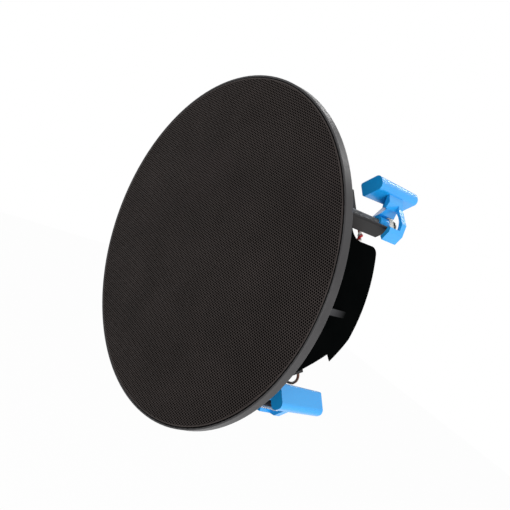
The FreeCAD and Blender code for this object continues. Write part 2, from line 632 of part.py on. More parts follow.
def tube(inner, outer, start, end):
    """Plain ring about the axis."""
    return revolved([(inner, start), (outer, start), (outer, end), (inner, end)])


def yoke():
    """Back plate with the pole piece, bored for the tweeter's post."""
    bore = POST_RADIUS + POST_CLEARANCE
    return revolved([(bore, BASKET_BACK), (POLE_RADIUS, BASKET_BACK), (POLE_RADIUS, MAGNET_RING_BACK),
                     (YOKE_RADIUS, MAGNET_RING_BACK), (YOKE_RADIUS, YOKE_BACK, 1.5), (bore, YOKE_BACK)])


def tweeter():
    """Post, cup, motor, dome and face ring of the tweeter in front of the cone."""
    floor = TWEETER_BACK - TWEETER_FLOOR
    inner = TWEETER_RADIUS - TWEETER_WALL
    motor = inner - PART_CLEARANCE
    land = TWEETER_FRONT + TWEETER_DOME_SHEET
    collar_back = YOKE_BACK + POST_COLLAR
    post_piece = revolved([(POST_BORE, TWEETER_BACK), (POST_RADIUS, TWEETER_BACK), (POST_RADIUS, YOKE_BACK),
                           (POST_COLLAR_RADIUS, YOKE_BACK), (POST_COLLAR_RADIUS, collar_back, 0.8),
                           (POST_BORE, collar_back)])
    cup = revolved([(POST_BORE, floor), (inner, floor), (inner, TWEETER_FRONT), (TWEETER_RADIUS, TWEETER_FRONT),
                    (TWEETER_RADIUS, TWEETER_BACK, 3.0), (POST_BORE, TWEETER_BACK)])
    groove_out = TWEETER_DOME_RADIUS + TWEETER_GROOVE / 2
    groove_in = TWEETER_DOME_RADIUS - TWEETER_GROOVE / 2
    groove_end = (land + floor) / 2
    motor_piece = revolved([(0, land), (groove_in, land), (groove_in, groove_end), (groove_out, groove_end),
                            (groove_out, land), (motor, land), (motor, floor), (0, floor)])
    rise = TWEETER_DOME_RISE
    sphere = (TWEETER_DOME_RADIUS ** 2 + rise ** 2) / (2 * rise)
    mid = TWEETER_DOME_RADIUS * 0.55
    sag = sphere - math.sqrt(sphere ** 2 - mid ** 2)
    peak = V(0, TWEETER_FRONT - rise, 0)
    foot = V(TWEETER_DOME_RADIUS, TWEETER_FRONT, 0)
    thick = V(0, TWEETER_DOME_SHEET, 0)
    crown = V(mid, peak.y + sag, 0)
    rim = V(motor, TWEETER_FRONT, 0)
    edges = [
        Part.Arc(peak, crown, foot).toShape(),
        Part.LineSegment(foot, rim).toShape(),
        Part.LineSegment(rim, rim + thick).toShape(),
        Part.LineSegment(rim + thick, foot + thick).toShape(),
        Part.Arc(foot + thick, crown + thick, peak + thick).toShape(),
        Part.LineSegment(peak + thick, peak).toShape(),
    ]
    dome = Part.Face(Part.Wire(edges)).revolve(ORIGIN, AXIS, 360)
    lip = TWEETER_FRONT - TWEETER_RING_HEIGHT
    face_ring = revolved([(TWEETER_RADIUS, TWEETER_FRONT), (TWEETER_RADIUS, lip + 0.8), (inner, lip),
                          (TWEETER_DOME_RADIUS + PART_CLEARANCE, TWEETER_FRONT - 0.4),
                          (TWEETER_DOME_RADIUS + PART_CLEARANCE, TWEETER_FRONT)])
    return post_piece, cup, motor_piece, dome, face_ring


def crossover():
    """Board in the right-hand lobe of the drum, with its coil, capacitor and resistor on the inner side."""
    middle = BOARD_FRONT + BOARD_HEIGHT / 2
    half = BOARD_WIDTH / 2
    board = block((BOARD_PLACE, BOARD_FRONT, -half),
                  (BOARD_PLACE + BOARD_THICKNESS, BOARD_FRONT + BOARD_HEIGHT, half))

    def spool(radius, start, end):
        return Part.makeCylinder(radius, end - start, V(BOARD_PLACE - end, middle, -half / 2 - 1.0), V(1, 0, 0))

    coil = spool(COIL_RADIUS, 0, COIL_FLANGE).fuse([
        spool(COIL_RADIUS - 1.0, COIL_FLANGE, COIL_HEIGHT - COIL_FLANGE),
        spool(COIL_RADIUS, COIL_HEIGHT - COIL_FLANGE, COIL_HEIGHT)])
    coil = coil.cut(spool(COIL_BOBBIN_RADIUS, 0, COIL_HEIGHT))
    start = middle - CAPACITOR_LENGTH / 2
    end = start + CAPACITOR_LENGTH
    capacitor = revolved([(0, start), (CAPACITOR_RADIUS, start, CAPACITOR_ROUND),
                          (CAPACITOR_RADIUS, end, CAPACITOR_ROUND), (0, end)])
    capacitor.translate(V(BOARD_PLACE - CAPACITOR_RADIUS, 0, half - CAPACITOR_RADIUS - 1.0))
    place = 1.0
    resistor = block((BOARD_PLACE - RESISTOR_WIDTH, middle - RESISTOR_LENGTH / 2, place),
                     (BOARD_PLACE, middle + RESISTOR_LENGTH / 2, place + RESISTOR_WIDTH))
    return [turned(s, LOBE_ANGLE) for s in (board, coil, capacitor, resistor)]


def terminals():
    """Spring terminal block on the frame's shelf, and its two push tabs."""
    half = TERMINAL_WIDTH / 2
    body = block((TERMINAL_INNER, TERMINAL_FRONT, -half), (TERMINAL_OUTER, TERMINAL_BACK, half))
    tab_floor = TERMINAL_BACK + TAB_TRAVEL - TAB_HEIGHT
    tabs = []
    cuts = []
    for side in (-0.5, 0.5):
        z = TAB_SPACING * side
        low = (TERMINAL_INNER + 1.5, tab_floor, z - TAB_WIDTH / 2)
        high = (TERMINAL_INNER + 1.5 + TAB_DEPTH, TERMINAL_BACK + TAB_TRAVEL, z + TAB_WIDTH / 2)
        tabs.append(turned(block(low, high), TERMINAL_ANGLE))
        gap = TAB_CLEARANCE
        cuts.append(block((low[0] - gap, tab_floor - TAB_TRAVEL - gap, low[2] - gap),
                          (high[0] + gap, TERMINAL_BACK, high[2] + gap)))
        cuts.append(rod(WIRE_HOLE_RADIUS, tab_floor, TERMINAL_BACK, high[0] + gap + WIRE_HOLE_RADIUS + 0.5, z))
    return turned(body.cut(cuts), TERMINAL_ANGLE), tabs


def pair_route(step_out, step_back):
    """From the terminal block's side, past a clamp tower, to the crossover board."""
    reach, depth = PAIR_TERMINAL
    outwards = TERMINAL_INNER + reach
    side = -TERMINAL_WIDTH / 2
    route = [facing(TERMINAL_ANGLE, outwards, depth + step_back, side),
             facing(TERMINAL_ANGLE, outwards, depth + step_back, side - PAIR_EXIT)]
    for inside, angle, back in PAIR_BENDS:
        route.append(polar(SCREW_CIRCLE - inside + step_out, angle, back + step_back))
    depth, side = PAIR_BOARD
    route += [facing(LOBE_ANGLE, BOARD_PLACE - BOARD_ENTRY, depth + step_back, side),
              facing(LOBE_ANGLE, BOARD_PLACE, depth + step_back, side)]
    return route


def brown_route():
    """From the crossover board, past the lower tower, to the basket's neck."""
    depth, side = BROWN_BOARD
    route = [facing(LOBE_ANGLE, BOARD_PLACE, depth, side),
             facing(LOBE_ANGLE, BOARD_PLACE - BOARD_ENTRY, depth, side)]
    for inside, angle, back in BROWN_BENDS:
        route.append(polar(SCREW_CIRCLE - inside, angle, back))
    route.append(polar(BASKET_NECK_RADIUS, angle, back))
    return route


def lead(points, name):
    """Round lead along straight runs joined by tangent arcs as large as the runs allow."""
    edges = []
    radii = []
    start = points[0]
    for before, corner, after in zip(points, points[1:], points[2:]):
        back = before - corner
        on = after - corner
        shorter = min(back.Length, on.Length)
        half = back.getAngle(on) / 2
        reach = 0.45 * shorter
        radius = reach * math.tan(half)
        back.normalize()
        on.normalize()
        inwards = back + on
        inwards.normalize()
        first = corner + back * reach
        last = corner + on * reach
        middle = corner + inwards * (radius / math.sin(half) - radius)
        edges.append(Part.LineSegment(start, first).toShape())
        edges.append(Part.Arc(first, middle, last).toShape())
        radii.append(round(radius, 1))
        start = last
    edges.append(Part.LineSegment(start, points[-1]).toShape())
    path = Part.Wire(edges)
    section = Part.Wire([Part.makeCircle(LEAD_RADIUS, points[0], points[1] - points[0])])
    shape = path.makePipeShell([section], True, True)
    expected = math.pi * LEAD_RADIUS ** 2 * path.Length
    ratio = round(shape.Volume / expected, 4)
    print(name, "length", round(path.Length, 1), "radii", radii, "volume ratio", ratio)
    return shape


os.makedirs("parts", exist_ok=True)

save("front_frame", front_frame())
save("grille", grille())
magnet = rod(MAGNET_RADIUS, GRILLE_BACK, GRILLE_BACK + MAGNET_HEIGHT, MAGNET_CIRCLE)
save("grille_magnets", *ring_of(magnet, MAGNET_COUNT, 180.0 / MAGNET_COUNT))
for number, (clamp_angle, advance) in enumerate(zip(CLAMP_ANGLES, CLAMP_ADVANCES), 1):
    save("clamp_%d" % number, advanced(turned(clamp(), clamp_angle), advance))
    save("clamp_nut_%d" % number, advanced(turned(clamp_nut(), clamp_angle), advance))
    save("clamp_screw_%d" % number, turned(clamp_screw(), clamp_angle))
    save("clamp_clip_%d" % number, turned(clamp_clip(), clamp_angle))

save("woofer_gasket", woofer_gasket())
save("basket", basket())
save("basket_screws", *ring_of(basket_screw(), BASKET_SCREWS))
surround_shape, cone_land_inner, cone_land_outer = surround()
save("surround", surround_shape)
save("cone", cone(cone_land_inner, cone_land_outer))
save("spider", spider())
former_inner = COIL_FORMER_RADIUS - COIL_FORMER_WALL
save("coil_former", tube(former_inner, COIL_FORMER_RADIUS, COIL_FORMER_START, COIL_FORMER_END))
coil_outer = COIL_FORMER_RADIUS + COIL_WALL
save("voice_coil", tube(COIL_FORMER_RADIUS, coil_outer, COIL_FORMER_END - COIL_LENGTH, COIL_FORMER_END))
save("top_plate", tube(coil_outer + COIL_GAP, TOP_PLATE_RADIUS, BASKET_BACK, TOP_PLATE_BACK))
save("ring_magnet", tube(MAGNET_RING_BORE, MAGNET_RING_RADIUS, TOP_PLATE_BACK, MAGNET_RING_BACK))
save("yoke", yoke())
tweeter_names = ("tweeter_post", "tweeter_cup", "tweeter_motor", "tweeter_dome", "tweeter_ring")
for tweeter_name, tweeter_shape in zip(tweeter_names, tweeter()):
    save(tweeter_name, tweeter_shape)
board_names = ("crossover_board", "crossover_coil", "crossover_capacitor", "crossover_resistor")
for board_name, board_shape in zip(board_names, crossover()):
    save(board_name, board_shape)
terminal_body, terminal_tabs = terminals()
save("terminal_block", terminal_body)
for tab_name, tab_shape in zip(("terminal_tab_red", "terminal_tab_black"), terminal_tabs):
    save(tab_name, tab_shape)
save("lead_red", lead(pair_route(0.0, 0.0), "lead_red"))
save("lead_white", lead(pair_route(PAIR_STEP_OUT, PAIR_SPACING), "lead_white"))
save("lead_brown", lead(brown_route(), "lead_brown"))
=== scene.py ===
import json
import math

import bpy
from mathutils import Matrix, Vector


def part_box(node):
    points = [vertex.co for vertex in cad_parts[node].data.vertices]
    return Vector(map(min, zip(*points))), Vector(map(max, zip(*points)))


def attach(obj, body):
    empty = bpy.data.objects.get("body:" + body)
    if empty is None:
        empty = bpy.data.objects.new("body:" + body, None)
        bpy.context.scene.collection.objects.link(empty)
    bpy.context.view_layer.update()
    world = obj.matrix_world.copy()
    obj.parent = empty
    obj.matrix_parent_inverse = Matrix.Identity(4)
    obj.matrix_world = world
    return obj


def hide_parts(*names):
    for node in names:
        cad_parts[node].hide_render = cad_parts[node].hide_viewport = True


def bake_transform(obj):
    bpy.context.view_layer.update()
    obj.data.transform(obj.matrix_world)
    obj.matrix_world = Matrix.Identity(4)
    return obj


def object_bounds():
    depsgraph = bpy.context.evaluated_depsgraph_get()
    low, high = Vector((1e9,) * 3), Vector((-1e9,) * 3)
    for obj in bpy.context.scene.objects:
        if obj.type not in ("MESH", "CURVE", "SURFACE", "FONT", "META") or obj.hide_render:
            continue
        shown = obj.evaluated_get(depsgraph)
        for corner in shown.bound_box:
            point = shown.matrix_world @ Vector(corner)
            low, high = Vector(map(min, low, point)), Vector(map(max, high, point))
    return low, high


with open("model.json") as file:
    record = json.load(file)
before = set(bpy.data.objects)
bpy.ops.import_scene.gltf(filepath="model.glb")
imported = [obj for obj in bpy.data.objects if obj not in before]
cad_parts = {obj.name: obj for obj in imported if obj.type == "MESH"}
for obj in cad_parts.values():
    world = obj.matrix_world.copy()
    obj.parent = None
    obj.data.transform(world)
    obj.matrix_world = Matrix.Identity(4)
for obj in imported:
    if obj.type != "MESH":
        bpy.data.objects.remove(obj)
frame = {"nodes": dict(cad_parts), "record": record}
cad_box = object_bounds()
nodes = frame["nodes"]
scene = bpy.context.scene
MM = 0.001

# Grille
HOLE_PITCH = 1.7 * MM
HOLE_SHARE = 0.78
BORDER_WIDTH = 0.9 * MM
BORDER_BEND = 0.6 * MM
FIELD_INSET = 0.3 * MM
BORDER_STEPS = 256
BEND_STEPS = 6
SHEET_SETBACK = 0.05 * MM
GRILLE_FACE = -6.45 * MM

# Rings cut into sectors
SECTORS = 12
SECTOR_STEPS = 8
SURROUND_LAND = 3.4 * MM
SURROUND_SHEET = 0.8 * MM
ROLL_RADIUS = 4.2 * MM
ROLL_STEPS = 16
SPIDER_INNER = 13.95 * MM
SPIDER_FIRST = 15.95 * MM
SPIDER_LAST = 37.5 * MM
SPIDER_SHEET = 0.8 * MM
SPIDER_WAVE = 1.3 * MM
SPIDER_WAVES = 4
WAVE_STEPS = 12

# Leads: route points in millimetres, from the terminal block or the board to their other end
PAIR_ROUTE = [(0.7, 34.1, 90.4), (12.5, 34.1, 92.5), (26.0, 47.0, 75.5), (40.0, 54.5, 60.4),
              (53.4, 60.6, 53.4), (73.6, 38.7, 32.4), (87.9, 37.7, 34.9)]
BROWN_ROUTE = [(94.2, 37.5, -2.1), (79.9, 37.5, -4.5), (77.0, 45.0, -28.0), (66.5, 49.5, -40.5),
               (70.4, 52.0, -47.7), (55.4, 62.0, -58.4), (44.5, 48.0, -51.5), (35.3, 38.0, -48.5),
               (26.7, 38.0, -36.8)]
ROUTE_STEPS = 16
LEAD_RADIUS = 0.9 * MM
LEAD_SIDES = 10
TWIST_RADIUS = 0.92 * MM
TWIST_PITCH = 8.5 * MM
SHARP_ANGLE = 35.0

# Zones of the front frame that differ in finish, by depth along the axis and by radius; the rib's
# zone holds a painted highlight
RIM_ZONE_BACK = 0.5 * MM
RIM_ZONE_RADIUS = 114.2 * MM
DRUM_ZONE_FRONT = 2.5 * MM
DRUM_ZONE_RADIUS = 97.2 * MM
RIB_HIGHLIGHT_START = 100.6 * MM
RIB_HIGHLIGHT_FULL = 105.2 * MM

# Patterns in the finishes
SHADE_LOW, SHADE_HIGH = 0.3, 0.7
COAT_ROUGHNESS = 0.2
THREAD_PITCH = 0.7 * MM
THREAD_START = 9.0 * MM
CONE_RING_PITCH = 6.0 * MM
WIRE_PITCH = 0.8 * MM

# Camera, in the photograph's frame of 510 x 510
LENS = 60.0
SENSOR = 36.0
RIM_RADIUS = 116.0 * MM
RIM_FRONT = -6.5 * MM
VIEW_RIGHT = Vector((0.5359, 0.7180, 0.4440))
VIEW_UP = Vector((-0.4025, -0.2450, 0.8820))
VIEW_BACK = Vector((0.7421, -0.6514, 0.1577))
VIEW_DISTANCE = 4.692
VIEW_SIDE = 0.2672
VIEW_DROP = -0.0469
CLIP_END = 50.0

# Stage
FLOOR_DROP = 0.7
FLOOR_SIZE = 6.0
FLOOR_WHITE = 0.95
FLOOR_GREY = 0.85
FLOOR_ROUGHNESS = 0.9
SKY_STRENGTH = 0.75
WHITE = (1.0, 1.0, 1.0, 1.0)

# Lamps: name, place, target, size and watts
LAMPS = [
    ("right_softbox", (1.2, 0.2, -0.1), (0, 0.03, 0), (1.0, 1.0), 7.0),
    ("low_softbox", (0.8, 0.3, -0.75), (0, 0.03, 0), (0.9, 0.9), 3.5),
    ("top_softbox", (-0.2, -0.1, 1.1), (0, 0, 0), (0.8, 0.8), 2.0),
    ("near_fill", (1.05, -1.0, 0.1), (0, 0, 0), (0.35, 0.35), 5.0),
    ("high_strip", (-0.06, 0.84, 0.99), (0.07, 0.06, 0.085), (0.05, 0.5), 1.8),
    ("side_strip", (-0.72, 0.84, 0.54), (0.07, 0.06, 0.085), (0.05, 0.5), 0.6),
]


def srgb(red, green, blue):
    """Linear colour from 0-255 display values."""
    def linear(value):
        value /= 255.0
        return value / 12.92 if value <= 0.04045 else ((value + 0.055) / 1.055) ** 2.4
    return linear(red), linear(green), linear(blue), 1.0


class Shader:
    """A material's node tree with short calls for the nodes used here."""

    def __init__(self, name, roughness=0.5, metallic=0.0, specular=0.5, coat=0.0):
        self.material = bpy.data.materials.new(name)
        self.material.use_nodes = True
        self.tree = self.material.node_tree
        self.surface = self.tree.nodes["Principled BSDF"]
        self.surface.inputs["Metallic"].default_value = metallic
        self.surface.inputs["Roughness"].default_value = roughness
        self.surface.inputs["Specular IOR Level"].default_value = specular
        self.surface.inputs["Coat Weight"].default_value = coat
        self.surface.inputs["Coat Roughness"].default_value = COAT_ROUGHNESS
        self.place = self.node("ShaderNodeTexCoord").outputs["Object"]

    def node(self, kind, **settings):
        made = self.tree.nodes.new(kind)
        for key, value in settings.items():
            setattr(made, key, value)
        return made

    def join(self, source, target):
        self.tree.links.new(source, target)

    def math(self, operation, a, b=None):
        made = self.node("ShaderNodeMath", operation=operation)
        for socket, value in zip(made.inputs, (a, b)):
            if value is None:
                continue
            if isinstance(value, (int, float)):
                socket.default_value = value
            else:
                self.join(value, socket)
        return made.outputs[0]

    def noise(self, scale, detail=3.0, stretch=None, distortion=0.0):
        made = self.node("ShaderNodeTexNoise")
        made.inputs["Scale"].default_value = scale
        made.inputs["Detail"].default_value = detail
        made.inputs["Distortion"].default_value = distortion
        source = self.place
        if stretch:
            mapping = self.node("ShaderNodeMapping")
            mapping.inputs["Scale"].default_value = stretch
            self.join(self.place, mapping.inputs["Vector"])
            source = mapping.outputs["Vector"]
        self.join(source, made.inputs["Vector"])
        return made.outputs["Fac"]

    def ramp(self, factor, stops):
        made = self.node("ShaderNodeValToRGB")
        elements = made.color_ramp.elements
        while len(elements) < len(stops):
            elements.new(0.5)
        for element, (position, colour) in zip(elements, stops):
            element.position = position
            element.color = colour
        self.join(factor, made.inputs["Fac"])
        return made.outputs["Color"]

    def shades(self, factor, dark, light):
        """Colour between a dark and a light shade."""
        return self.ramp(factor, [(SHADE_LOW, dark), (SHADE_HIGH, light)])

    def waves(self, distance, pitch):
        """Sine of a distance, with one turn to each pitch."""
        return self.math("SINE", self.math("MULTIPLY", distance, 2 * math.pi / pitch))

    def band(self, factor, low, high):
        """Factor spread from 0-1 to the range low-high."""
        made = self.node("ShaderNodeMapRange")
        made.inputs["To Min"].default_value = low
        made.inputs["To Max"].default_value = high
        self.join(factor, made.inputs["Value"])
        return made.outputs["Result"]

    def mix(self, factor, a, b):
        made = self.node("ShaderNodeMix", data_type="RGBA")
        self.join(factor, made.inputs["Factor"])
        self.join(a, made.inputs["A"])
        self.join(b, made.inputs["B"])
        return made.outputs["Result"]

    def colour(self, source):
        self.join(source, self.surface.inputs["Base Color"])

    def rough(self, source):
        self.join(source, self.surface.inputs["Roughness"])

    def bump(self, height, strength, distance):
        made = self.node("ShaderNodeBump")
        made.inputs["Strength"].default_value = strength
        made.inputs["Distance"].default_value = distance
        self.join(height, made.inputs["Height"])
        self.join(made.outputs["Normal"], self.surface.inputs["Normal"])

    def axes(self):
        """X, Y and Z of the point."""
        made = self.node("ShaderNodeSeparateXYZ")
        self.join(self.place, made.inputs[0])
        return made.outputs

    def radius(self):
        """Distance from the loudspeaker's axis."""
        x, _, z = self.axes()
        squares = [self.math("MULTIPLY", value, value) for value in (x, z)]
        return self.math("SQRT", self.math("ADD", *squares))


def varied(name, dark, light, scale, rough, grain, grain_depth, **settings):
    """Material whose colour and roughness wander a little, over a fine grain."""
    shader = Shader(name, **settings)
    cloud = shader.noise(scale)
    shader.colour(shader.shades(cloud, srgb(*dark), srgb(*light)))
    shader.rough(shader.band(cloud, *rough))
    shader.bump(shader.noise(grain, 2.0), 0.5, grain_depth)
    return shader.material


def frame_plastic():
    """Moulded black plastic: dead matt drum, satin grey rim, ribs painted light grey as a
    highlight, and dark towers.
    """
    shader = Shader("frame_plastic")
    depth = shader.axes()[1]
    radius = shader.radius()
    on_rim = shader.math("MULTIPLY", shader.math("LESS_THAN", depth, RIM_ZONE_BACK),
                         shader.math("GREATER_THAN", radius, RIM_ZONE_RADIUS))
    on_drum = shader.math("MULTIPLY", shader.math("GREATER_THAN", depth, DRUM_ZONE_FRONT),
                          shader.math("GREATER_THAN", radius, DRUM_ZONE_RADIUS))
    # Painted highlight: the rib on the drum is coloured light grey, though it is the same black
    # plastic as the drum.
    rib_highlight_mask = shader.node("ShaderNodeMapRange")
    rib_highlight_mask.inputs["From Min"].default_value = RIB_HIGHLIGHT_START
    rib_highlight_mask.inputs["From Max"].default_value = RIB_HIGHLIGHT_FULL
    shader.join(radius, rib_highlight_mask.inputs["Value"])
    cloud = shader.noise(60.0)
    tower = shader.shades(cloud, srgb(14, 12, 12), srgb(24, 20, 20))
    drum = shader.shades(cloud, srgb(2, 3, 3), srgb(4, 5, 5))
    rim = shader.shades(cloud, srgb(50, 49, 50), srgb(57, 56, 57))
    rib_highlight = shader.shades(cloud, srgb(78, 78, 80), srgb(88, 88, 90))
    drum = shader.mix(rib_highlight_mask.outputs["Result"], drum, rib_highlight)
    shader.colour(shader.mix(on_rim, shader.mix(on_drum, tower, drum), rim))
    matt = shader.math("SUBTRACT", shader.math("MULTIPLY", on_drum, 0.3),
                       shader.math("MULTIPLY", on_rim, 0.18))
    shader.rough(shader.math("ADD", shader.band(cloud, 0.5, 0.6), matt))
    sheen = shader.math("SUBTRACT", 0.25, shader.math("MULTIPLY", on_drum, 0.245))
    shader.join(sheen, shader.surface.inputs["Specular IOR Level"])
    shader.bump(shader.noise(2600.0, 2.0), 0.15, 0.00006)
    return shader.material


def grille_steel():
    """Powder-coated steel sheet, with the bore walls behind its face painted near black as shade.
    """
    shader = Shader("grille_steel", roughness=0.55, specular=0.15)
    cloud = shader.noise(30.0)
    face = shader.shades(cloud, srgb(52, 46, 44), srgb(62, 55, 53))
    # Painted shade: everything behind the sheet's face is coloured near black for the shadow inside
    # the holes.
    painted_bore_shade = shader.shades(cloud, srgb(6, 5, 5), srgb(9, 8, 8))
    bore_shade_mask = shader.math("GREATER_THAN", shader.axes()[1], GRILLE_FACE)
    shader.colour(shader.mix(bore_shade_mask, face, painted_bore_shade))
    shader.bump(shader.noise(3000.0, 2.0), 0.5, 0.00005)
    return shader.material


def clamp_plastic():
    """Blue nylon with a soft sheen and faint flow marks."""
    shader = Shader("clamp_plastic", specular=0.9)
    cloud = shader.noise(45.0, 4.0, stretch=(1.0, 0.35, 1.0), distortion=0.4)
    shader.colour(shader.shades(cloud, srgb(16, 144, 218), srgb(34, 154, 225)))
    shader.rough(shader.band(cloud, 0.17, 0.24))
    shader.bump(shader.noise(1400.0, 2.0), 0.25, 0.00005)
    return shader.material


def threaded_steel():
    """Dull zinc with thread turns along the screw's shank."""
    shader = Shader("zinc_thread", metallic=1.0)
    depth = shader.axes()[1]
    cloud = shader.noise(350.0)
    shader.colour(shader.shades(cloud, srgb(92, 92, 92), srgb(124, 124, 122)))
    shader.rough(shader.band(cloud, 0.28, 0.42))
    on_shank = shader.math("GREATER_THAN", depth, THREAD_START)
    turns = shader.math("MULTIPLY", shader.waves(depth, THREAD_PITCH), on_shank)
    shader.bump(turns, 0.8, 0.00025)
    return shader.material


def turned_metal(name, dark, light, rough, rings):
    """Metal with fine turning marks about the axis, so many rings to the metre."""
    shader = Shader(name, metallic=1.0)
    marks = shader.waves(shader.radius(), 1 / rings)
    cloud = shader.noise(90.0)
    shader.colour(shader.shades(cloud, srgb(*dark), srgb(*light)))
    shader.rough(shader.band(cloud, *rough))
    shader.bump(marks, 0.25, 0.00004)
    return shader.material


def cone_pulp():
    """Coated pulp: short random fibres and a faint ring pattern."""
    shader = Shader("cone_pulp", specular=0.35)
    fibres = shader.noise(700.0, 5.0, distortion=1.2)
    shader.colour(shader.ramp(fibres, [(0.35, srgb(30, 30, 31)), (0.7, srgb(52, 51, 50))]))
    shader.rough(shader.band(fibres, 0.5, 0.7))
    rings = shader.math("MULTIPLY", shader.waves(shader.radius(), CONE_RING_PITCH), 0.5)
    shader.bump(shader.math("ADD", fibres, rings), 0.4, 0.0002)
    return shader.material


def woven(name, dark, light, pitch, rough):
    """Cloth with a plain weave."""
    shader = Shader(name, specular=0.2)
    x, _, z = shader.axes()
    weave = shader.math("MULTIPLY", shader.waves(x, pitch), shader.waves(z, pitch))
    cloud = shader.noise(120.0)
    shader.colour(shader.shades(cloud, srgb(*dark), srgb(*light)))
    shader.rough(shader.band(cloud, *rough))
    shader.bump(weave, 0.5, 0.0001)
    return shader.material


def wound_copper():
    """Enamelled copper with its turns showing."""
    shader = Shader("copper_wire", metallic=1.0)
    depth = shader.axes()[1]
    turns = shader.waves(shader.math("ADD", shader.radius(), depth), WIRE_PITCH)
    cloud = shader.noise(200.0)
    shader.colour(shader.shades(cloud, srgb(150, 84, 48), srgb(186, 112, 66)))
    shader.rough(shader.band(cloud, 0.28, 0.4))
    shader.bump(turns, 0.7, 0.0002)
    return shader.material


# Plain finishes: dark and light shade, scale of the clouds, roughness, scale and depth of the grain
VARIED = {
    "magnet": ((24, 24, 25), (34, 34, 35), 80.0, (0.35, 0.45), 900.0, 0.00002),
    "gasket_foam": ((22, 22, 22), (36, 36, 36), 300.0, (0.8, 0.95), 2200.0, 0.0003),
    "basket_steel": ((20, 20, 21), (32, 32, 33), 40.0, (0.35, 0.46), 1800.0, 0.00006),
    "dark_screw": ((28, 28, 28), (48, 48, 47), 400.0, (0.35, 0.5), 1500.0, 0.00005),
    "surround_rubber": ((18, 18, 18), (27, 27, 27), 60.0, (0.6, 0.72), 2600.0, 0.00006),
    "ferrite": ((38, 38, 40), (58, 58, 60), 70.0, (0.6, 0.78), 1200.0, 0.0002),
    "tweeter_plastic": ((20, 20, 20), (30, 30, 30), 80.0, (0.4, 0.5), 2400.0, 0.00005),
    "board_laminate": ((28, 78, 42), (40, 96, 54), 150.0, (0.3, 0.42), 900.0, 0.00005),
    "capacitor_film": ((190, 148, 40), (214, 172, 62), 90.0, (0.2, 0.32), 700.0, 0.00005),
    "resistor_ceramic": ((205, 202, 190), (226, 223, 212), 260.0, (0.7, 0.85), 1400.0, 0.0002),
    "terminal_plastic": ((22, 22, 22), (34, 34, 34), 100.0, (0.42, 0.55), 2200.0, 0.00006),
    "tab_red": ((160, 16, 18), (186, 26, 26), 120.0, (0.3, 0.4), 1500.0, 0.00005),
    "tab_black": ((16, 16, 16), (28, 28, 28), 120.0, (0.3, 0.4), 1500.0, 0.00005),
    "lead_red": ((166, 22, 26), (196, 34, 36), 300.0, (0.35, 0.48), 2000.0, 0.00004),
    "lead_white": ((216, 212, 206), (236, 233, 228), 300.0, (0.35, 0.48), 2000.0, 0.00004),
    "lead_brown": ((84, 48, 28), (108, 64, 38), 300.0, (0.35, 0.48), 2000.0, 0.00004),
    "zinc_steel": ((150, 150, 148), (188, 188, 184), 260.0, (0.28, 0.42), 1200.0, 0.00005),
}
VARIED_SETTINGS = {
    "magnet": {"specular": 0.2},
    "dark_screw": {"metallic": 0.7},
    "capacitor_film": {"coat": 0.3},
    "zinc_steel": {"metallic": 1.0},
}

# Metals turned about the axis: dark and light shade, roughness and rings to the metre
TURNED = {
    "former_foil": ((160, 160, 156), (190, 190, 186), (0.3, 0.45), 1200.0),
    "plated_steel": ((138, 138, 134), (152, 152, 147), (0.34, 0.42), 900.0),
    "post_aluminium": ((170, 170, 172), (200, 200, 202), (0.25, 0.38), 1500.0),
}

# Cloths: dark and light shade, pitch of the weave and roughness
WOVEN = {
    "spider_cloth": ((150, 116, 52), (186, 150, 78), 0.0009, (0.75, 0.9)),
    "dome_cloth": ((26, 26, 28), (40, 40, 43), 0.0006, (0.6, 0.75)),
}

materials = {
    "frame_plastic": frame_plastic(),
    "grille_steel": grille_steel(),
    "cone_pulp": cone_pulp(),
    "copper_wire": wound_copper(),
    "clamp_plastic": clamp_plastic(),
}
for slot, finish in VARIED.items():
    materials[slot] = varied(slot, *finish, **VARIED_SETTINGS.get(slot, {}))
for slot, finish in TURNED.items():
    materials[slot] = turned_metal(slot, *finish)
for slot, finish in WOVEN.items():
    materials[slot] = woven(slot, *finish)
thread = threaded_steel()

for part in frame["record"]["subparts"]:
    shape = nodes[part["node"]]
    shape.data.materials.clear()
    threaded = part["node"].startswith("clamp_screw")
    shape.data.materials.append(thread if threaded else materials[part["material_slot"]])


def piece(name, points, faces, slot, body=None, smooth=True):
    """New mesh piece with a material slot's finish, that rides on a body if one is named."""
    mesh = bpy.data.meshes.new(name)
    mesh.from_pydata([tuple(p) for p in points], [], faces)
    mesh.validate()
    if smooth:
        mesh.polygons.foreach_set("use_smooth", [True] * len(mesh.polygons))
    made = bpy.data.objects.new(name, mesh)
    scene.collection.objects.link(made)
    mesh.materials.append(materials[slot])
    if body:
        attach(made, body)
    return made


def used_points(points, faces):
    """The points that faces use, and the faces on them."""
    used = sorted({i for face in faces for i in face})
    new = {old: i for i, old in enumerate(used)}
    return [points[i] for i in used], [tuple(new[i] for i in face) for face in faces]


def revolve(profile, steps, start=0.0, end=2 * math.pi):
    """Points and quads of a closed profile of (radius, depth) turned about the axis."""
    whole = math.isclose(end - start, 2 * math.pi)
    count = steps if whole else steps + 1
    points = []
    for i in range(count):
        angle = start + (end - start) * i / steps
        points += [(r * math.cos(angle), y, r * math.sin(angle)) for r, y in profile]
    size = len(profile)
    faces = []
    for i in range(steps):
        a, b = i * size, (i + 1) % count * size
        for j in range(size):
            k = (j + 1) % size
            faces.append((a + j, a + k, b + k, b + j))
    return points, faces


